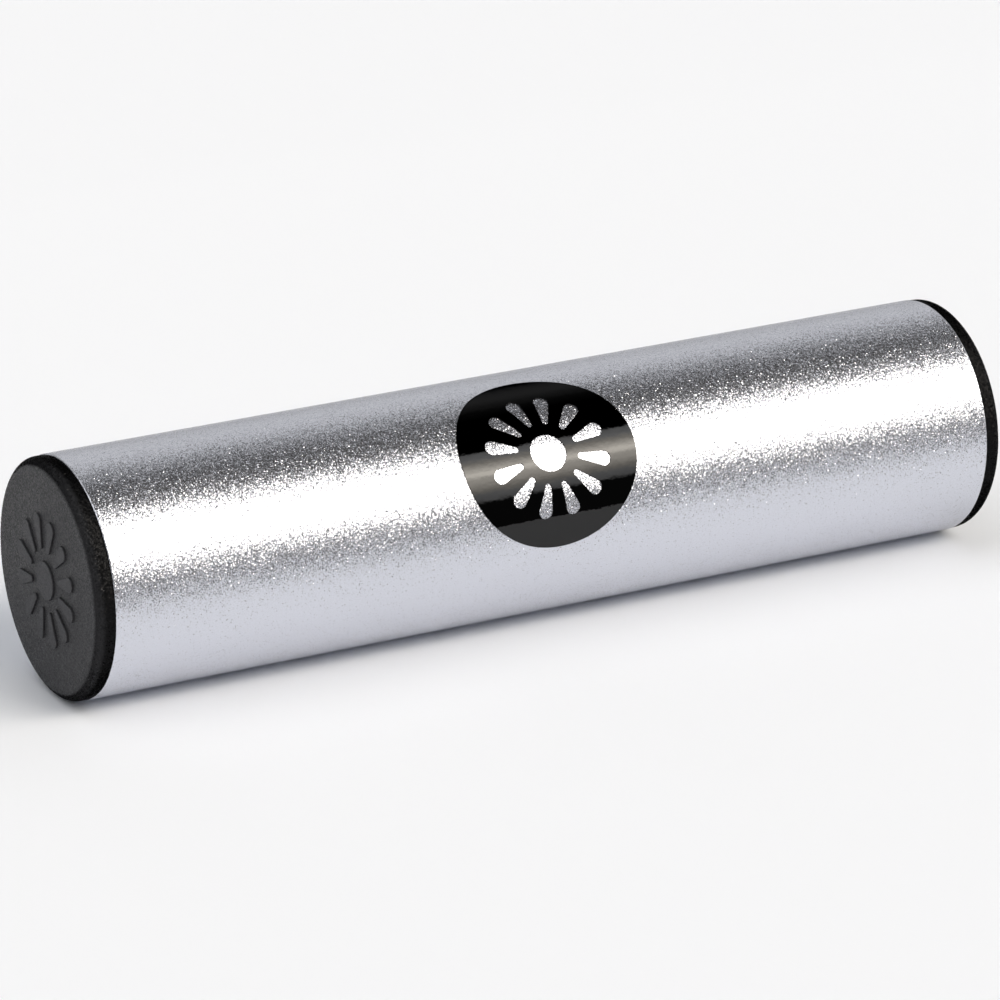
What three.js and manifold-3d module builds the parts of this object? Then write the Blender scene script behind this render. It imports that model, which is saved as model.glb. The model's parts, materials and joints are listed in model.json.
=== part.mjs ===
// Tube shaker: a metal tube closed by two moulded plug caps, with loose steel shot inside.
// Millimetres, +Z up. The tube lies on its side along X and rests on Z = 0, with its middle
// over the origin. Its front, which carries the round label, faces -Y.

import * as THREE from "three";
import { mergeVertices } from "three/addons/utils/BufferGeometryUtils.js";
import { TessellateModifier } from "three/addons/modifiers/TessellateModifier.js";
import Module from "manifold-3d";

// Tube
const tubeOuterDiameter = 50;
const tubeWall = 1.5;
const tubeLength = 201.8;
const tubeOuterChamfer = 0.3;
const tubeInnerChamfer = 0.6;
const roundSegments = 48;

// End caps: a flange over the tube's end, and a hollow skirt that plugs the bore
const flangeThickness = 3.8;
const flangeSetback = 0.15;
const flangeShoulderRadius = 2.3;
const flangeBackChamfer = 0.25;
const flangeSeam = 0.05;
const faceWall = 2.4;
const skirtLength = 14;
const skirtWall = 2;
const skirtFloorRadius = 1;
const skirtLeadIn = 1.6;
const skirtLeadInDrop = 0.8;
const plugClearance = 0.3;
const gripRingCount = 3;
const gripRingPitch = 3.2;
const gripRingHeight = 0.5;
const gripRingLand = 0.7;
const gripRingSlope = 1.3;
const firstGripRing = 2.2;

// Emblem: a plain sun, raised on the caps' faces and cut out of the label
const sunRayCount = 12;
const sunDotRadius = 4;
const sunRayStart = 7.2;
const sunRayEnd = 12.2;
const sunRayRootRadius = 0.7;
const sunRayTipRadius = 1.6;
const emblemHeight = 0.45;

// Round label, a thin film wrapped on the tube
const labelDiameter = 39.5;
const labelThickness = 0.2;
const labelClearance = 0.15;
const labelAngle = 38.6;
const labelOffset = -1.7;
const labelOutlineSteps = 48;
const labelFacetLength = 4;

// Loose shot, in rows along the lowest part of the bore
const shotDiameter = 4.5;
const shotRows = 7;
const shotPerRow = 8;
const shotClearance = 0.3;

// Sizes that follow from the ones above
const tubeRadius = tubeOuterDiameter / 2;
const boreRadius = tubeRadius - tubeWall;
const flatFactor = Math.cos(Math.PI / roundSegments);
const axisHeight = tubeRadius * flatFactor;
const flangeRadius = tubeRadius - flangeSetback;
const skirtRadius = boreRadius - plugClearance - gripRingHeight;
const seatX = tubeLength / 2 + flangeSeam;
const shotRadius = shotDiameter / 2;
const shotPathRadius = boreRadius * flatFactor - shotClearance - shotRadius;
const shotPitch = shotDiameter + shotClearance;
const rowAngle = 2 * Math.asin(shotPitch / 2 / shotPathRadius);

const wasm = await Module();
wasm.setup();

const tubeFinish = new THREE.MeshStandardMaterial({ color: 0xb8b9bf, roughness: 0.35, metalness: 0.9 });
const capFinish = new THREE.MeshStandardMaterial({ color: 0x1e1e20, roughness: 0.55, metalness: 0 });
const labelFinish = new THREE.MeshStandardMaterial({ color: 0x060607, roughness: 0.08, metalness: 0 });
const shotFinish = new THREE.MeshStandardMaterial({ color: 0x9b9ea3, roughness: 0.25, metalness: 1 });

// Merges the vertices that triangles share and drops the triangles that collapse on an axis.
function weld(geometry) {
  const bare = geometry.clone();
  bare.deleteAttribute("normal");
  bare.deleteAttribute("uv");
  const merged = mergeVertices(bare);
  const triangles = [];
  for (let i = 0; i < merged.index.count; i += 3) {
    const corners = [0, 1, 2].map((k) => merged.index.getX(i + k));
    if (new Set(corners).size === 3) {
      triangles.push(...corners);
    }
  }
  merged.setIndex(triangles);
  return merged;
}

function toSolid(geometry) {
  const welded = weld(geometry);
  const mesh = new wasm.Mesh({
    numProp: 3,
    vertProperties: new Float32Array(welded.attributes.position.array),
    triVerts: new Uint32Array(welded.index.array),
  });
  return new wasm.Manifold(mesh);
}

function toGeometry(solid) {
  const mesh = solid.getMesh();
  const geometry = new THREE.BufferGeometry();
  geometry.setAttribute("position", new THREE.BufferAttribute(mesh.vertProperties, 3));
  geometry.setIndex(new THREE.BufferAttribute(mesh.triVerts, 1));
  geometry.computeVertexNormals();
  return geometry;
}

function namedMesh(name, geometry, material) {
  const mesh = new THREE.Mesh(geometry, material);
  mesh.name = name;
  return mesh;
}

function arcPoints(centre, radius, startAngle, endAngle, steps) {
  const points = [];
  for (let i = 0; i <= steps; i += 1) {
    const angle = startAngle + ((endAngle - startAngle) * i) / steps;
    points.push(new THREE.Vector2(centre.x + radius * Math.cos(angle), centre.y + radius * Math.sin(angle)));
  }
  return points;
}

function circlePoints(radius, steps) {
  const points = arcPoints(new THREE.Vector2(), radius, 0, 2 * Math.PI, steps);
  points.pop();
  return points;
}

// One ray: two circles, the larger one at the tip, joined by the lines that touch both.
function rayPoints(direction) {
  const root = new THREE.Vector2(Math.cos(direction), Math.sin(direction)).multiplyScalar(sunRayStart);
  const tip = new THREE.Vector2(Math.cos(direction), Math.sin(direction)).multiplyScalar(sunRayEnd);
  const touch = Math.acos((sunRayRootRadius - sunRayTipRadius) / (sunRayEnd - sunRayStart));
  return [
    ...arcPoints(tip, sunRayTipRadius, direction - touch, direction + touch, 5),
    ...arcPoints(root, sunRayRootRadius, direction + touch, direction + 2 * Math.PI - touch, 2),
  ];
}

function sunOutlines() {
  const outlines = [circlePoints(sunDotRadius, 16)];
  for (let i = 0; i < sunRayCount; i += 1) {
    outlines.push(rayPoints(((i + 0.5) * 2 * Math.PI) / sunRayCount));
  }
  return outlines;
}

// A lathe turns about its Y axis. Half a segment of turn puts a flat, not an edge, underneath.
function turned(profile) {
  return new THREE.LatheGeometry(profile, roundSegments, Math.PI / roundSegments);
}

function makeTube() {
  const end = tubeLength / 2;
  const profile = [
    new THREE.Vector2(tubeRadius - tubeOuterChamfer, -end),
    new THREE.Vector2(tubeRadius, -end + tubeOuterChamfer),
    new THREE.Vector2(tubeRadius, end - tubeOuterChamfer),
    new THREE.Vector2(tubeRadius - tubeOuterChamfer, end),
    new THREE.Vector2(boreRadius + tubeInnerChamfer, end),
    new THREE.Vector2(boreRadius, end - tubeInnerChamfer),
    new THREE.Vector2(boreRadius, -end + tubeInnerChamfer),
    new THREE.Vector2(boreRadius + tubeInnerChamfer, -end),
    new THREE.Vector2(tubeRadius - tubeOuterChamfer, -end),
  ];
  const tube = namedMesh("tube", toGeometry(toSolid(turned(profile))), tubeFinish);
  tube.rotation.z = -Math.PI / 2;
  return tube;
}

// Half section of a cap: Y = 0 is the tube's end, +Y points out of the tube.
function capProfile() {
  const innerRadius = skirtRadius - skirtWall;
  const floorY = flangeThickness - faceWall;
  const floorCorner = new THREE.Vector2(innerRadius - skirtFloorRadius, floorY - skirtFloorRadius);
  const shoulder = new THREE.Vector2(
    flangeRadius - flangeShoulderRadius,
    flangeThickness - flangeShoulderRadius,
  );
  const profile = [
    new THREE.Vector2(0, floorY),
    ...arcPoints(floorCorner, skirtFloorRadius, Math.PI / 2, 0, 2),
    new THREE.Vector2(innerRadius, -skirtLength),
    new THREE.Vector2(skirtRadius - skirtLeadInDrop, -skirtLength),
    new THREE.Vector2(skirtRadius, -skirtLength + skirtLeadIn),
  ];
  // Grip rings slope towards the lead-in and are steep on the flange's side.
  for (let i = gripRingCount - 1; i >= 0; i -= 1) {
    const steepY = -firstGripRing - i * gripRingPitch;
    const landY = steepY - gripRingLand;
    profile.push(new THREE.Vector2(skirtRadius, landY - gripRingSlope));
    profile.push(new THREE.Vector2(skirtRadius + gripRingHeight, landY));
    profile.push(new THREE.Vector2(skirtRadius + gripRingHeight, steepY));
    profile.push(new THREE.Vector2(skirtRadius, steepY));
  }
  profile.push(new THREE.Vector2(skirtRadius, 0));
  profile.push(new THREE.Vector2(flangeRadius - flangeBackChamfer, 0));
  profile.push(new THREE.Vector2(flangeRadius, flangeBackChamfer));
  profile.push(...arcPoints(shoulder, flangeShoulderRadius, 0, Math.PI / 2, 5));
  profile.push(new THREE.Vector2(0, flangeThickness));
  return profile;
}

// The raised emblem stands on the cap's face, rooted a little way into it.
function raisedEmblem() {
  const rootDepth = faceWall / 4;
  const shapes = sunOutlines().map((outline) => new THREE.Shape(outline));
  const solids = shapes.map((shape) => {
    const ridge = new THREE.ExtrudeGeometry(shape, {
      depth: rootDepth + emblemHeight,
      bevelEnabled: false,
    });
    ridge.translate(0, 0, flangeThickness - rootDepth);
    ridge.rotateX(-Math.PI / 2);
    return toSolid(ridge);
  });
  return solids.reduce((all, ridge) => all.add(ridge));
}

function makeCap(name, side) {
  const body = toSolid(turned(capProfile()));
  const cap = namedMesh(name, toGeometry(body.add(raisedEmblem())), capFinish);
  cap.rotation.z = (-side * Math.PI) / 2;
  cap.position.x = side * seatX;
  return cap;
}

// The film is cut flat, split into short facets, and then wrapped round the tube's axis.
function makeLabel() {
  const disc = new THREE.Shape(circlePoints(labelDiameter / 2, labelOutlineSteps));
  disc.holes = sunOutlines().map((outline) => new THREE.Path(outline));
  const flat = new THREE.ExtrudeGeometry(disc, { depth: labelThickness, bevelEnabled: false });
  const film = weld(new TessellateModifier(labelFacetLength, 8).modify(flat));
  const position = film.attributes.position;
  for (let i = 0; i < position.count; i += 1) {
    const turn = position.getY(i) / tubeRadius;
    const radius = tubeRadius + labelClearance + position.getZ(i);
    position.setXYZ(i, position.getX(i), -radius * Math.cos(turn), radius * Math.sin(turn));
  }
  film.computeVertexNormals();
  const label = namedMesh("round_label", film, labelFinish);
  label.rotation.x = -THREE.MathUtils.degToRad(labelAngle);
  label.position.x = labelOffset;
  return label;
}

// Neighbouring rows are set half a ball apart along the tube, as round shot settles.
function makeShotRow(row) {
  const group = new THREE.Group();
  const angle = (row - (shotRows - 1) / 2) * rowAngle;
  const stagger = (row % 2 === 0 ? -1 : 1) * (shotPitch / 4);
  const ball = new THREE.IcosahedronGeometry(shotRadius, 1);
  for (let i = 0; i < shotPerRow; i += 1) {
    const shot = namedMesh(`shot_row${row + 1}_ball${i + 1}`, weld(ball), shotFinish);
    shot.position.x = (i - (shotPerRow - 1) / 2) * shotPitch;
    group.add(shot);
  }
  group.position.set(stagger, shotPathRadius * Math.sin(angle), -shotPathRadius * Math.cos(angle));
  return group;
}

const shaker = new THREE.Group();
shaker.position.z = axisHeight;
shaker.add(makeTube());
shaker.add(makeCap("left_end_cap", -1));
shaker.add(makeCap("right_end_cap", 1));
shaker.add(makeLabel());
for (let row = 0; row < shotRows; row += 1) {
  shaker.add(makeShotRow(row));
}

export default shaker;
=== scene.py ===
import json
import math

import bmesh
import bpy
from mathutils import Matrix, Vector


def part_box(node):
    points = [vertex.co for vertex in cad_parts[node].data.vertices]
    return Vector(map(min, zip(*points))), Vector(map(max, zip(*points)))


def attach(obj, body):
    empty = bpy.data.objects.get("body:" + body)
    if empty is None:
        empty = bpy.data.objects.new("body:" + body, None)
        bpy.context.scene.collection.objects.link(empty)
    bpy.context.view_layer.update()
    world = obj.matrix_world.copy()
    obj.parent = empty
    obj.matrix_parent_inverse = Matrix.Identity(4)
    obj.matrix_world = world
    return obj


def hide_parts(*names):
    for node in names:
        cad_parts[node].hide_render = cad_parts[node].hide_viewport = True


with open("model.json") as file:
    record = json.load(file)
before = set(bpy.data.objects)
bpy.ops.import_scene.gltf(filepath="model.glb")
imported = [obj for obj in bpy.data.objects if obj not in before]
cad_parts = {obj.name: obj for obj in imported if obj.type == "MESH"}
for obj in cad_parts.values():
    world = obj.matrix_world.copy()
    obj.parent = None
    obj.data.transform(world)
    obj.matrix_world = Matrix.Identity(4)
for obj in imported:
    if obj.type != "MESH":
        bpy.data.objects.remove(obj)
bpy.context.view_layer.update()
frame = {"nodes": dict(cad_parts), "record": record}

print("frame loaded:", len(frame["nodes"]), "nodes")

# the tube in the frame has flat sides, so its true radius is a little more than half its box
cadSides = 48
tubeLow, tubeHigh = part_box("tube")
axisHeight = (tubeLow[2] + tubeHigh[2]) / 2
tubeRadius = (tubeHigh[2] - tubeLow[2]) / 2 / math.cos(math.pi / cadSides)
tubeEnd = tubeHigh[0]
tubeWall = 0.0015
tubeAxis = Vector((0, 0, axisHeight))

# used in selecting and finishing
slack = 2e-5           # places closer than this count as the same
endFacing = 0.9        # a face that looks along the tube this squarely is an end face
normalWeight = 60      # how much the large faces lead the shading


# selecting and finishing, used by every piece

def clearSelection():
    if bpy.context.mode != "OBJECT":
        bpy.ops.object.mode_set(mode="OBJECT")
    bpy.ops.object.select_all(action="DESELECT")


def activate(piece):
    clearSelection()
    piece.select_set(True)
    bpy.context.view_layer.objects.active = piece


def selectFaces(piece, wanted):
    bpy.ops.mesh.select_mode(type="FACE")
    bpy.ops.mesh.select_all(action="DESELECT")
    shape = bmesh.from_edit_mesh(piece.data)
    for face in shape.faces:
        if wanted(face):
            face.select_set(True)
    bmesh.update_edit_mesh(piece.data)


def selectEdges(piece, wanted):
    bpy.ops.mesh.select_mode(type="EDGE")
    bpy.ops.mesh.select_all(action="DESELECT")
    shape = bmesh.from_edit_mesh(piece.data)
    for edge in shape.edges:
        if all(wanted(corner.co) for corner in edge.verts):
            edge.select_set(True)
    bmesh.update_edit_mesh(piece.data)


def selectCorners(piece, wanted):
    bpy.ops.mesh.select_mode(type="VERT")
    bpy.ops.mesh.select_all(action="DESELECT")
    shape = bmesh.from_edit_mesh(piece.data)
    for corner in shape.verts:
        if wanted(corner.co):
            corner.select_set(True)
    bmesh.update_edit_mesh(piece.data)


def offAxis(place):
    return math.hypot(place.y, place.z - axisHeight)


def near(value, target):
    return abs(value - target) < slack


def applyPlace(piece):
    activate(piece)
    bpy.ops.object.transform_apply(location=True, rotation=True, scale=True)


def applyModifier(piece, kind, **settings):
    activate(piece)
    modifier = piece.modifiers.new(kind.lower(), kind)
    for name, value in settings.items():
        setattr(modifier, name, value)
    bpy.ops.object.modifier_apply(modifier=modifier.name)


def smoothOver(piece, degrees):
    activate(piece)
    bpy.ops.object.shade_smooth_by_angle(angle=math.radians(degrees))
    applyModifier(piece, "WEIGHTED_NORMAL", keep_sharp=True, weight=normalWeight)


def handOver(piece, name, body, slotName, material, *nodes):
    piece.name = name
    piece.data.name = name
    piece.data.materials.clear()
    piece.data.materials.append(material)
    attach(piece, body)
    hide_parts(*nodes)


# end cap sizes, which the caps' finish uses too

capForm = {
    "sides": 192,
    "flange": 0.0038,
    "setback": 0.00015,
    "shoulder": 0.0023,
    "shoulderSteps": 12,
    "backRound": 0.00025,
    "backSteps": 2,
    "faceWall": 0.0024,
    "skirtLength": 0.014,
    "skirtWall": 0.002,
    "leadIn": 0.0016,
    "leadInDrop": 0.0008,
    "floorRound": 0.001,
    "floorSteps": 4,
    "plugRoom": 0.0003,
    "rings": 3,
    "ringPitch": 0.0032,
    "ringHeight": 0.0005,
    "ringLand": 0.0007,
    "ringSlope": 0.0013,
    "firstRing": 0.0022,
    "emblemHeight": 0.00045,
    "emblemRoot": 0.0006,
    "emblemRound": 0.00014,
    "smoothAngle": 30,
}


# shader groups that more than one material uses

def newGroup(name, inputs, outputs):
    group = bpy.data.node_groups.new(name, "ShaderNodeTree")
    for label, kind, value in inputs:
        socket = group.interface.new_socket(label, in_out="INPUT", socket_type=kind)
        socket.default_value = value
    for label, kind in outputs:
        group.interface.new_socket(label, in_out="OUTPUT", socket_type=kind)
    return group, group.nodes.new("NodeGroupInput"), group.nodes.new("NodeGroupOutput")


def feed(tree, socket, value):
    # value is another node's output or a plain number, vector or colour
    if hasattr(value, "is_output"):
        tree.links.new(value, socket)
    elif socket.type == "RGBA":
        socket.default_value = (*value, 1)
    else:
        socket.default_value = value


def mathNode(tree, operation, *values):
    node = tree.nodes.new("ShaderNodeMath")
    node.operation = operation
    for socket, value in zip(node.inputs, values):
        feed(tree, socket, value)
    return node.outputs[0]


def vectorNode(tree, operation, *values, scale=None):
    node = tree.nodes.new("ShaderNodeVectorMath")
    node.operation = operation
    for socket, value in zip(node.inputs, values):
        feed(tree, socket, value)
    if scale is not None:
        feed(tree, node.inputs["Scale"], scale)
    return node.outputs[0]


def mixNode(tree, kind, factor, first, second):
    mix = tree.nodes.new("ShaderNodeMix")
    mix.data_type = kind
    for name, value in (("Factor", factor), ("A", first), ("B", second)):
        feed(tree, mix.inputs[name], value)
    return mix.outputs["Result"]


def smoothMask(tree, value, low, high):
    # 0 below low, 1 above high
    node = tree.nodes.new("ShaderNodeMapRange")
    node.interpolation_type = "SMOOTHSTEP"
    node.inputs["From Min"].default_value = low
    node.inputs["From Max"].default_value = high
    tree.links.new(value, node.inputs["Value"])
    return node.outputs["Result"]


strayRarity = 6        # a higher power leaves fewer grains tipped far
patchDetail = 5        # how ragged the patches' edges are


def makeFacetGrain():
    # small flat grains, each tipped its own way, a few of them further than the rest
    group, given, result = newGroup(
        "facetGrain",
        [("Grain Size", "NodeSocketFloat", 0.0004), ("Tilt", "NodeSocketFloat", 0.3),
         ("Strays", "NodeSocketFloat", 0.0)],
        [("Normal", "NodeSocketVector"), ("Shade", "NodeSocketFloat")],
    )
    place = group.nodes.new("ShaderNodeTexCoord").outputs["Object"]
    facing = group.nodes.new("ShaderNodeNewGeometry").outputs["Normal"]
    grains = group.nodes.new("ShaderNodeTexVoronoi")
    grains.feature = "F1"
    group.links.new(place, grains.inputs["Vector"])
    feed(group, grains.inputs["Scale"], mathNode(group, "DIVIDE", 1.0, given.outputs["Grain Size"]))
    centred = vectorNode(group, "SUBTRACT", grains.outputs["Color"], (0.5, 0.5, 0.5))
    luck = group.nodes.new("ShaderNodeTexWhiteNoise")
    group.links.new(grains.outputs["Position"], luck.inputs["Vector"])
    further = mathNode(group, "POWER", luck.outputs["Value"], strayRarity)
    further = mathNode(group, "MULTIPLY", further, given.outputs["Strays"])
    further = mathNode(group, "ADD", further, 1.0)
    reach = mathNode(group, "MULTIPLY", further, given.outputs["Tilt"])
    tipped = vectorNode(group, "SCALE", centred, scale=reach)
    normal = vectorNode(group, "NORMALIZE", vectorNode(group, "ADD", facing, tipped))
    group.links.new(normal, result.inputs["Normal"])
    group.links.new(grains.outputs["Color"], result.inputs["Shade"])
    return group


def makeHandling():
    # faint uneven gloss, as from wiping and handling
    group, given, result = newGroup(
        "handling",
        [("Patch Size", "NodeSocketFloat", 0.03), ("Roughness", "NodeSocketFloat", 0.3),
         ("Spread", "NodeSocketFloat", 0.05)],
        [("Roughness", "NodeSocketFloat"), ("Mask", "NodeSocketFloat")],
    )
    place = group.nodes.new("ShaderNodeTexCoord").outputs["Object"]
    patches = group.nodes.new("ShaderNodeTexNoise")
    patches.inputs["Detail"].default_value = patchDetail
    group.links.new(place, patches.inputs["Vector"])
    feed(group, patches.inputs["Scale"], mathNode(group, "DIVIDE", 1.0, given.outputs["Patch Size"]))
    swing = mathNode(group, "SUBTRACT", patches.outputs["Fac"], 0.5)
    swing = mathNode(group, "MULTIPLY", swing, given.outputs["Spread"])
    feed(group, result.inputs["Roughness"], mathNode(group, "ADD", swing, given.outputs["Roughness"]))
    group.links.new(patches.outputs["Fac"], result.inputs["Mask"])
    return group


facetGrain = makeFacetGrain()
handling = makeHandling()


def newMaterial(name):
    material = bpy.data.materials.new(name)
    material.use_nodes = True
    return material, material.node_tree, material.node_tree.nodes["Principled BSDF"]


def useGroup(tree, group, **values):
    node = tree.nodes.new("ShaderNodeGroup")
    node.node_tree = group
    for label, value in values.items():
        node.inputs[label.replace("_", " ")].default_value = value
    return node


# finishes

sparkle = {
    "dark": (0.64, 0.653, 0.71),
    "light": (0.69, 0.704, 0.765),
    "glancing": (0.86, 0.86, 0.87),
    "grainSize": 0.00017,
    "tilt": 0.27,
    "strays": 3,
    "roughness": 0.267,
    "spread": 0.03,
    "patch": 0.03,
}


def makeSparkleMetal():
    material, tree, shader = newMaterial("sparkleMetal")
    shader.inputs["Metallic"].default_value = 1
    shader.inputs["Specular Tint"].default_value = (*sparkle["glancing"], 1)
    grain = useGroup(
        tree, facetGrain,
        Grain_Size=sparkle["grainSize"], Tilt=sparkle["tilt"], Strays=sparkle["strays"],
    )
    marks = useGroup(
        tree, handling,
        Patch_Size=sparkle["patch"], Roughness=sparkle["roughness"], Spread=sparkle["spread"],
    )
    tree.links.new(grain.outputs["Normal"], shader.inputs["Normal"])
    tree.links.new(marks.outputs["Roughness"], shader.inputs["Roughness"])
    tone = mixNode(tree, "RGBA", grain.outputs["Shade"], sparkle["dark"], sparkle["light"])
    tree.links.new(tone, shader.inputs["Base Color"])
    return material


moulded = {
    # painted light: the face, and the emblem's top with it, are coloured lighter than the side of the
    # same plastic
    "face": (0.057, 0.057, 0.0605),
    "raised": (0.067, 0.067, 0.072),
    # painted sheen: the shoulder's lighter colour stands in for the lamp's gleam on it
    "shoulder": (0.036, 0.036, 0.038),
    "side": (0.0135, 0.0135, 0.014),
    "glancing": (0.3, 0.3, 0.3),
    "shade": 0.3,          # how much the grain shades the colour
    "gloss": 0.085,
    "grainSize": 0.00026,
    "faceTilt": 0.34,
    "sideTilt": 0.6,
    "raisedTilt": 0.12,
    "strays": 0.8,
    "roughness": 0.42,
    "spread": 0.1,
    "patch": 0.012,
    "faceBlend": 0.00025,  # how far down the shoulder the face's texture and painted light reach
    "faceEdge": 0.00001,   # the face's texture and painted light are whole from this close to the face
    "sheenFrom": 0.0009,    # the shoulder is painted lighter, a painted sheen, down to here, and the side below is not
    "sheenTo": 0.0021,
    "topFrom": 0.0001,     # the emblem's smooth top starts this far below its highest plane
    "topWhole": 0.00003,   # and is whole from here up
}


def makeMouldedPlastic():
    material, tree, shader = newMaterial("mouldedPlastic")
    shader.inputs["Specular IOR Level"].default_value = moulded["gloss"]
    shader.inputs["Specular Tint"].default_value = (*moulded["glancing"], 1)
    # the mould gives the face a fine matt texture, the side a coarser one
    # and the raised emblem a smooth top
    split = tree.nodes.new("ShaderNodeSeparateXYZ")
    tree.links.new(tree.nodes.new("ShaderNodeTexCoord").outputs["Object"], split.inputs[0])
    along = mathNode(tree, "ABSOLUTE", split.outputs["X"])
    emblemTop = max(abs(corner[0]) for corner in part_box("right_end_cap"))
    faceX = emblemTop - capForm["emblemHeight"]
    onFace = smoothMask(tree, along, faceX - moulded["faceBlend"], faceX - moulded["faceEdge"])
    onTop = smoothMask(tree, along, emblemTop - moulded["topFrom"], emblemTop - moulded["topWhole"])
    # painted sheen: where the shoulder is painted lighter than the side
    paintedSheen = smoothMask(tree, along, faceX - moulded["sheenTo"], faceX - moulded["sheenFrom"])
    grain = useGroup(tree, facetGrain, Grain_Size=moulded["grainSize"], Strays=moulded["strays"])
    sideOrFace = mixNode(tree, "FLOAT", onFace, moulded["sideTilt"], moulded["faceTilt"])
    tilt = mixNode(tree, "FLOAT", onTop, sideOrFace, moulded["raisedTilt"])
    tree.links.new(tilt, grain.inputs["Tilt"])
    marks = useGroup(
        tree, handling,
        Patch_Size=moulded["patch"], Roughness=moulded["roughness"], Spread=moulded["spread"],
    )
    tree.links.new(grain.outputs["Normal"], shader.inputs["Normal"])
    tree.links.new(marks.outputs["Roughness"], shader.inputs["Roughness"])
    colour = mixNode(tree, "RGBA", paintedSheen, moulded["side"], moulded["shoulder"])
    # painted light on the face and emblem top, which are coloured lighter than the side
    colour = mixNode(tree, "RGBA", onFace, colour, moulded["face"])
    colour = mixNode(tree, "RGBA", onTop, colour, moulded["raised"])
    darker = vectorNode(tree, "MULTIPLY", colour, (1 - moulded["shade"],) * 3)
    tone = mixNode(tree, "RGBA", grain.outputs["Shade"], darker, colour)
    tree.links.new(tone, shader.inputs["Base Color"])
    # the side is deep black and only mirrors a little, which keeps it dark at a slant
    tree.links.new(mathNode(tree, "SUBTRACT", 1.0, onFace), shader.inputs["Metallic"])
    return material


film = {
    "dark": (0.035, 0.035, 0.0355),
    "light": (0.040, 0.040, 0.0405),
    "glancing": (0.2, 0.2, 0.2),
    "roughness": 0.02,
    "spread": 0.02,
    "patch": 0.02,
    "waveSize": 0.0016,
    "waveHeight": 0.00002,
    "waveDetail": 3,
}


def makeGlossFilm():
    material, tree, shader = newMaterial("glossFilm")
    # a thin metallised film, almost black, that stays dark when it is seen at a slant
    shader.inputs["Metallic"].default_value = 1
    shader.inputs["Specular Tint"].default_value = (*film["glancing"], 1)
    marks = useGroup(
        tree, handling,
        Patch_Size=film["patch"], Roughness=film["roughness"], Spread=film["spread"],
    )
    tree.links.new(marks.outputs["Roughness"], shader.inputs["Roughness"])
    tone = mixNode(tree, "RGBA", marks.outputs["Mask"], film["dark"], film["light"])
    tree.links.new(tone, shader.inputs["Base Color"])
    # the film follows the grains under it a little, so its reflections have a slight wave
    place = tree.nodes.new("ShaderNodeTexCoord").outputs["Object"]
    waves = tree.nodes.new("ShaderNodeTexNoise")
    waves.inputs["Scale"].default_value = 1 / film["waveSize"]
    waves.inputs["Detail"].default_value = film["waveDetail"]
    tree.links.new(place, waves.inputs["Vector"])
    bump = tree.nodes.new("ShaderNodeBump")
    bump.inputs["Distance"].default_value = film["waveHeight"]
    tree.links.new(waves.outputs["Fac"], bump.inputs["Height"])
    tree.links.new(bump.outputs["Normal"], shader.inputs["Normal"])
    return material


steel = {
    "dark": (0.5, 0.5, 0.51),
    "light": (0.62, 0.62, 0.63),
    "grainSize": 0.0003,
    "tilt": 0.06,
    "roughness": 0.18,
    "spread": 0.12,
    "patch": 0.0012,
}


def makeShotSteel():
    material, tree, shader = newMaterial("shotSteel")
    shader.inputs["Metallic"].default_value = 1
    grain = useGroup(tree, facetGrain, Grain_Size=steel["grainSize"], Tilt=steel["tilt"])
    marks = useGroup(
        tree, handling,
        Patch_Size=steel["patch"], Roughness=steel["roughness"], Spread=steel["spread"],
    )
    tree.links.new(grain.outputs["Normal"], shader.inputs["Normal"])
    tree.links.new(marks.outputs["Roughness"], shader.inputs["Roughness"])
    tone = mixNode(tree, "RGBA", marks.outputs["Mask"], steel["dark"], steel["light"])
    tree.links.new(tone, shader.inputs["Base Color"])
    return material


sparkleMetal = makeSparkleMetal()
mouldedPlastic = makeMouldedPlastic()
glossFilm = makeGlossFilm()
shotSteel = makeShotSteel()
print("finishes made")


# tube

tubeForm = {
    "sides": 256,
    "outerRound": 0.0003,
    "innerRound": 0.0005,
    "roundSteps": 3,
    "smoothAngle": 40,
}


def addTube():
    clearSelection()
    bpy.ops.mesh.primitive_cylinder_add(
        vertices=tubeForm["sides"], radius=tubeRadius, depth=2 * tubeEnd, end_fill_type="NGON",
        location=tubeAxis, rotation=(0, math.pi / 2, 0),
    )
    tube = bpy.context.object
    applyPlace(tube)
    bpy.ops.object.mode_set(mode="EDIT")
    # the two ends are inset by the wall and joined through the middle as the bore
    selectFaces(tube, lambda face: abs(face.normal.x) > endFacing)
    bpy.ops.mesh.inset(thickness=tubeWall)
    bpy.ops.mesh.bridge_edge_loops()
    selectEdges(tube, lambda place: near(abs(place.x), tubeEnd) and near(offAxis(place), tubeRadius))
    bpy.ops.mesh.bevel(offset=tubeForm["outerRound"], segments=tubeForm["roundSteps"])
    boreRadius = tubeRadius - tubeWall
    selectEdges(tube, lambda place: near(abs(place.x), tubeEnd) and near(offAxis(place), boreRadius))
    bpy.ops.mesh.bevel(offset=tubeForm["innerRound"], segments=tubeForm["roundSteps"])
    bpy.ops.mesh.select_all(action="SELECT")
    bpy.ops.mesh.normals_make_consistent(inside=False)
    smoothOver(tube, tubeForm["smoothAngle"])
    handOver(tube, "sparkle_tube", "shaker", "tube_metal", sparkleMetal, "tube")


addTube()
print("tube made")


# the sun emblem: a dot and a ring of rays, cut out of the label and raised on the caps

sun = {
    "rays": 12,
    "dotRadius": 0.004,
    "rayStart": 0.0072,
    "rayEnd": 0.0122,
    "rootRadius": 0.0007,
    "tipRadius": 0.0016,
    "sides": 40,
    "roundSteps": 3,
}


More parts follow.
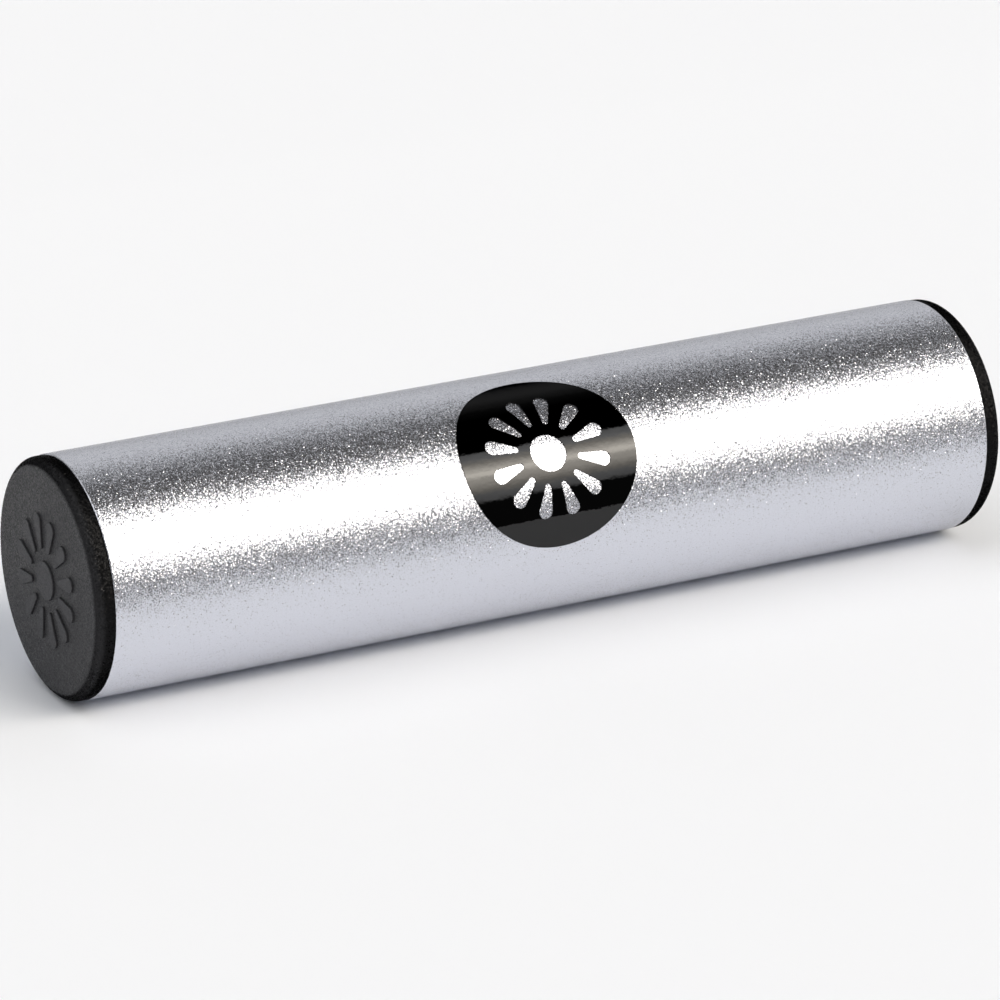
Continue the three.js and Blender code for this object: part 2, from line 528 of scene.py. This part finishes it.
def addSun(thickness, edgeRound):
    # lies in XY about the origin, its underside on Z = 0
    parts = []
    for i in range(sun["rays"]):
        clearSelection()
        bpy.ops.mesh.primitive_cylinder_add(
            vertices=sun["sides"], radius=sun["tipRadius"], depth=thickness,
            location=(sun["rayEnd"], 0, thickness / 2),
        )
        ray = bpy.context.object
        applyPlace(ray)
        bpy.ops.object.mode_set(mode="EDIT")
        selectCorners(ray, lambda place: place.x < sun["rayEnd"] - slack)
        bpy.ops.transform.resize(
            value=(sun["rootRadius"] / sun["tipRadius"],) * 2 + (1,),
            center_override=(sun["rayEnd"], 0, 0),
        )
        bpy.ops.transform.translate(value=(sun["rayStart"] - sun["rayEnd"], 0, 0))
        bpy.ops.object.mode_set(mode="OBJECT")
        ray.rotation_euler.z = (i + 0.5) * 2 * math.pi / sun["rays"]
        applyPlace(ray)
        parts.append(ray)
    clearSelection()
    bpy.ops.mesh.primitive_cylinder_add(
        vertices=2 * sun["sides"], radius=sun["dotRadius"], depth=thickness,
        location=(0, 0, thickness / 2),
    )
    dot = bpy.context.object
    applyPlace(dot)
    for ray in parts:
        ray.select_set(True)
    bpy.context.view_layer.objects.active = dot
    bpy.ops.object.join()
    if edgeRound:
        bpy.ops.object.mode_set(mode="EDIT")
        selectEdges(dot, lambda place: near(place.z, thickness))
        bpy.ops.mesh.bevel(offset=edgeRound, segments=sun["roundSteps"])
        bpy.ops.object.mode_set(mode="OBJECT")
    return dot


# end caps

def capStations():
    # (distance out of the tube, radius) from the flange's back to the floor of the hollow
    form = capForm
    skirt = tubeRadius - tubeWall - form["plugRoom"] - form["ringHeight"]
    stations = [(0, skirt)]
    for i in range(form["rings"]):
        steep = -form["firstRing"] - i * form["ringPitch"]
        land = steep - form["ringLand"]
        stations.append((steep, skirt))
        stations.append((steep, skirt + form["ringHeight"]))
        stations.append((land, skirt + form["ringHeight"]))
        stations.append((land - form["ringSlope"], skirt))
    stations.append((form["leadIn"] - form["skirtLength"], skirt))
    stations.append((-form["skirtLength"], skirt - form["leadInDrop"]))
    stations.append((-form["skirtLength"], skirt - form["skirtWall"]))
    stations.append((form["flange"] - form["faceWall"], skirt - form["skirtWall"]))
    return stations


def addCap(name, node, side):
    form = capForm
    low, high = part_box(node)
    outermost = high[0] if side > 0 else low[0]
    faceX = outermost - side * form["emblemHeight"]
    seatX = faceX - side * form["flange"]
    flangeRadius = tubeRadius - form["setback"]
    clearSelection()
    bpy.ops.mesh.primitive_cylinder_add(
        vertices=form["sides"], radius=flangeRadius, depth=form["flange"],
        location=((faceX + seatX) / 2, 0, axisHeight), rotation=(0, math.pi / 2, 0),
    )
    cap = bpy.context.object
    applyPlace(cap)
    bpy.ops.object.mode_set(mode="EDIT")
    # the back of the flange is pulled in section by section: the skirt, its rings and its hollow
    selectFaces(cap, lambda face: face.normal.x * side < -endFacing)
    lastOut, lastRadius = 0, flangeRadius
    for out, radius in capStations():
        bpy.ops.mesh.extrude_region_move(
            TRANSFORM_OT_translate={"value": (side * (out - lastOut), 0, 0)},
        )
        bpy.ops.transform.resize(
            value=(1, radius / lastRadius, radius / lastRadius), center_override=tubeAxis,
        )
        lastOut, lastRadius = out, radius
    floorX = seatX + side * lastOut
    selectEdges(cap, lambda place: near(place.x, floorX) and near(offAxis(place), lastRadius))
    bpy.ops.mesh.bevel(offset=form["floorRound"], segments=form["floorSteps"])
    selectEdges(cap, lambda place: near(place.x, seatX) and near(offAxis(place), flangeRadius))
    bpy.ops.mesh.bevel(offset=form["backRound"], segments=form["backSteps"])
    selectEdges(cap, lambda place: near(place.x, faceX) and near(offAxis(place), flangeRadius))
    bpy.ops.mesh.bevel(offset=form["shoulder"], segments=form["shoulderSteps"])
    bpy.ops.mesh.select_all(action="SELECT")
    bpy.ops.mesh.normals_make_consistent(inside=False)
    bpy.ops.object.mode_set(mode="OBJECT")
    # the raised emblem is rooted a little way into the face
    emblem = addSun(form["emblemHeight"] + form["emblemRoot"], form["emblemRound"])
    emblem.rotation_euler = (0, side * math.pi / 2, 0)
    emblem.location = (faceX - side * form["emblemRoot"], 0, axisHeight)
    applyPlace(emblem)
    applyModifier(cap, "BOOLEAN", object=emblem, operation="UNION", solver="EXACT")
    bpy.data.objects.remove(emblem)
    smoothOver(cap, form["smoothAngle"])
    handOver(cap, name, "shaker", "cap_plastic", mouldedPlastic, node)


addCap("moulded_cap_left", "left_end_cap", -1)
addCap("moulded_cap_right", "right_end_cap", 1)
print("caps made")


# round label

label = {
    "angle": 38.6,         # degrees up from the front
    "filmThickness": 0.00016,
    "lift": 0.00002,
    "sides": 160,
    "slices": 96,
    "smoothAngle": 40,
}


def addLabel():
    low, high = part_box("round_label")
    diameter = high[0] - low[0]
    middle = (low[0] + high[0]) / 2
    thickness = label["filmThickness"]
    wrapRadius = tubeRadius + label["lift"]
    clearSelection()
    bpy.ops.mesh.primitive_cylinder_add(
        vertices=label["sides"], radius=diameter / 2, depth=thickness,
        location=(0, 0, thickness / 2),
    )
    disc = bpy.context.object
    applyPlace(disc)
    cutter = addSun(3 * thickness, 0)
    cutter.location.z = -thickness
    applyPlace(cutter)
    applyModifier(disc, "BOOLEAN", object=cutter, operation="DIFFERENCE", solver="EXACT")
    bpy.data.objects.remove(cutter)
    activate(disc)
    bpy.ops.object.mode_set(mode="EDIT")
    for i in range(1, label["slices"]):
        across = (i / label["slices"] - 0.5) * diameter
        bpy.ops.mesh.select_all(action="SELECT")
        bpy.ops.mesh.bisect(plane_co=(across, 0, 0), plane_no=(1, 0, 0))
    bpy.ops.object.mode_set(mode="OBJECT")
    # stood on edge, so that the bend turns X round Z and the film's outside faces -Y
    disc.rotation_euler = (math.pi / 2, 0, 0)
    applyPlace(disc)
    applyModifier(
        disc, "SIMPLE_DEFORM", deform_method="BEND", deform_axis="Z", angle=diameter / wrapRadius,
    )
    # laid along the tube, then turned up to its place on the front
    out = Matrix.Translation((0, -wrapRadius, 0))
    along = Matrix.Rotation(math.pi / 2, 4, "Y")
    up = Matrix.Rotation(math.radians(-label["angle"]), 4, "X")
    disc.matrix_world = Matrix.Translation((middle, 0, axisHeight)) @ up @ along @ out
    applyPlace(disc)
    smoothOver(disc, label["smoothAngle"])
    handOver(disc, "label_film", "shaker", "label_film", glossFilm, "round_label")


addLabel()
print("label made")


# steel shot, one ball per node, each with its own mesh

shotForm = {"cuts": 11}


def addShot():
    clearSelection()
    low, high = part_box("shot_row1_ball1")
    radius = (high[0] - low[0]) / 2
    bpy.ops.mesh.primitive_cube_add(size=2 * radius)
    ball = bpy.context.object
    bpy.ops.object.mode_set(mode="EDIT")
    bpy.ops.mesh.subdivide(number_cuts=shotForm["cuts"])
    bpy.ops.object.mode_set(mode="OBJECT")
    applyModifier(ball, "CAST", factor=1, size=radius, use_radius_as_size=False)
    activate(ball)
    bpy.ops.object.shade_smooth()
    for body, nodes in frame["record"]["behaviour"]["bodies"].items():
        for node in nodes:
            if node.startswith("shot_"):
                low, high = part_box(node)
                copy = ball.copy()
                copy.data = ball.data.copy()
                copy.data.transform(Matrix.Translation((Vector(low) + Vector(high)) / 2))
                bpy.context.scene.collection.objects.link(copy)
                handOver(copy, node.replace("shot_", "steel_"), body, "shot_steel", shotSteel, node)
    bpy.data.objects.remove(ball)


addShot()
print("shot made")


# studio: pale floor, a soft light in front and above, dark room over it, pale wall behind

studio = {
    "floorSize": 6,
    "floorGap": 1e-5,
    "floorRoughness": 0.9,
    "floorGloss": 0.1,
    "floorColour": (0.9, 0.926, 0.98),
    "cameraPlace": (-0.5286, -0.9895, 0.4499),
    "cameraDown": 20.8154,
    "cameraTurn": 28.002,
    "lens": 208.45,
    "sensor": 36,
    "clipStart": 0.01,
    "clipEnd": 50,
    # cards that only reflections see: place along Y, height, brightness
    "frontCard": (-0.28, 0.06, 0.05),
    "rearCard": (0.3, 0.11, 0.54),
    "cardLength": 3,
}

# how bright the room is at each angle round the tube: degrees up from the front, brightness
room = {
    "right": [
        (-180, 0.62), (-90, 0.85), (-6, 0.85), (-4, 0.05), (19, 0.05), (20.5, 1.35), (26, 1.75),
        (30, 2.8), (33, 4), (37, 5.8), (41, 6.5), (44, 9.9), (46, 12), (48, 10), (52, 6.6), (56, 3.8),
        (60, 2.4), (64, 1.9), (66, 1.7), (67, 0), (103, 0), (111, 0.05), (119, 0.23), (126, 0.5),
        (135, 0.69), (146, 0.79), (165, 0.79), (180, 0.76),
    ],
    "left": [
        (-180, 0.62), (-90, 0.9), (0, 0.15), (30, 0.15), (62, 0.2), (72, 1.3), (113, 1.3), (123, 0.3),
        (180, 0.25),
    ],
    "brightest": 12,
    "lampFrom": 2.5,       # what is brighter than this on the right is the warm lamp
    "lampTint": (1.0, 0.935, 0.83),
    # where the right part starts and ends, by the direction's X
    "rightStart": (-0.12, 0.12),
    "rightEnd": (0.65, 0.85),
}


def addFloor():
    floorHeight = axisHeight - tubeRadius - studio["floorGap"]
    clearSelection()
    bpy.ops.mesh.primitive_plane_add(size=studio["floorSize"], location=(0, 0, floorHeight))
    floor = bpy.context.object
    floor.name = "floor"
    material, tree, shader = newMaterial("paleFloor")
    shader.inputs["Base Color"].default_value = (*studio["floorColour"], 1)
    shader.inputs["Roughness"].default_value = studio["floorRoughness"]
    shader.inputs["Specular IOR Level"].default_value = studio["floorGloss"]
    floor.data.materials.append(material)


def addCard(name, along, height, brightness):
    clearSelection()
    bpy.ops.mesh.primitive_plane_add(
        size=1, location=(0, along, height / 2), rotation=(math.pi / 2, 0, 0),
    )
    card = bpy.context.object
    card.name = name
    card.scale = (studio["cardLength"], height, 1)
    applyPlace(card)
    material, tree, shader = newMaterial(name)
    shader.inputs["Base Color"].default_value = (0, 0, 0, 1)
    shader.inputs["Specular IOR Level"].default_value = 0
    shader.inputs["Emission Color"].default_value = (1, 1, 1, 1)
    shader.inputs["Emission Strength"].default_value = brightness
    card.data.materials.append(material)
    card.visible_camera = False
    card.visible_diffuse = False
    card.visible_shadow = False
    card.visible_transmission = False


def addRoomRamp(tree, turn, levels, lampTint):
    ramp = tree.nodes.new("ShaderNodeValToRGB")
    tree.links.new(turn, ramp.inputs["Fac"])
    stops = ramp.color_ramp.elements
    for i, (degrees, strength) in enumerate(levels):
        place = degrees / 360 + 0.5
        tint = lampTint if strength > room["lampFrom"] else (1, 1, 1)
        stop = stops[i] if i < 2 else stops.new(place)
        stop.position = place
        stop.color = [strength / room["brightest"] * share for share in tint] + [1]
    return ramp.outputs["Color"]


def addWorld():
    world = bpy.data.worlds.new("studio")
    bpy.context.scene.world = world
    world.use_nodes = True
    tree = world.node_tree
    direction = tree.nodes.new("ShaderNodeTexCoord").outputs["Generated"]
    split = tree.nodes.new("ShaderNodeSeparateXYZ")
    tree.links.new(direction, split.inputs[0])
    front = mathNode(tree, "MULTIPLY", split.outputs["Y"], -1.0)
    angle = mathNode(tree, "ARCTAN2", split.outputs["Z"], front)
    turn = mathNode(tree, "ADD", mathNode(tree, "DIVIDE", angle, 2 * math.pi), 0.5)
    started = smoothMask(tree, split.outputs["X"], *room["rightStart"])
    ended = smoothMask(tree, split.outputs["X"], *room["rightEnd"])
    light = vectorNode(
        tree, "MULTIPLY",
        mixNode(
            tree, "RGBA", mathNode(tree, "SUBTRACT", started, ended),
            addRoomRamp(tree, turn, room["left"], (1, 1, 1)),
            addRoomRamp(tree, turn, room["right"], room["lampTint"]),
        ),
        (room["brightest"],) * 3,
    )
    # the backdrop is white to the camera, and below the horizon to reflections too
    path = tree.nodes.new("ShaderNodeLightPath")
    below = mathNode(tree, "LESS_THAN", split.outputs["Z"], 0.0)
    mirrored = mathNode(tree, "MULTIPLY", path.outputs["Is Glossy Ray"], below)
    direct = mathNode(tree, "ADD", path.outputs["Is Camera Ray"], path.outputs["Is Transmission Ray"])
    seen = mixNode(tree, "RGBA", mathNode(tree, "ADD", direct, mirrored), light, (1, 1, 1))
    tree.links.new(seen, tree.nodes["Background"].inputs["Color"])


def addCamera():
    camera = bpy.data.objects.new("camera", bpy.data.cameras.new("camera"))
    bpy.context.scene.collection.objects.link(camera)
    camera.location = studio["cameraPlace"]
    camera.rotation_euler = (
        math.radians(90 - studio["cameraDown"]), 0, math.radians(-studio["cameraTurn"]),
    )
    camera.data.lens = studio["lens"]
    camera.data.sensor_width = studio["sensor"]
    camera.data.clip_start = studio["clipStart"]
    camera.data.clip_end = studio["clipEnd"]
    bpy.context.scene.camera = camera


addFloor()
addCard("frontCard", *studio["frontCard"])
addCard("rearCard", *studio["rearCard"])
addWorld()
addCamera()
bpy.context.scene.view_settings.view_transform = "Standard"
print("studio made")
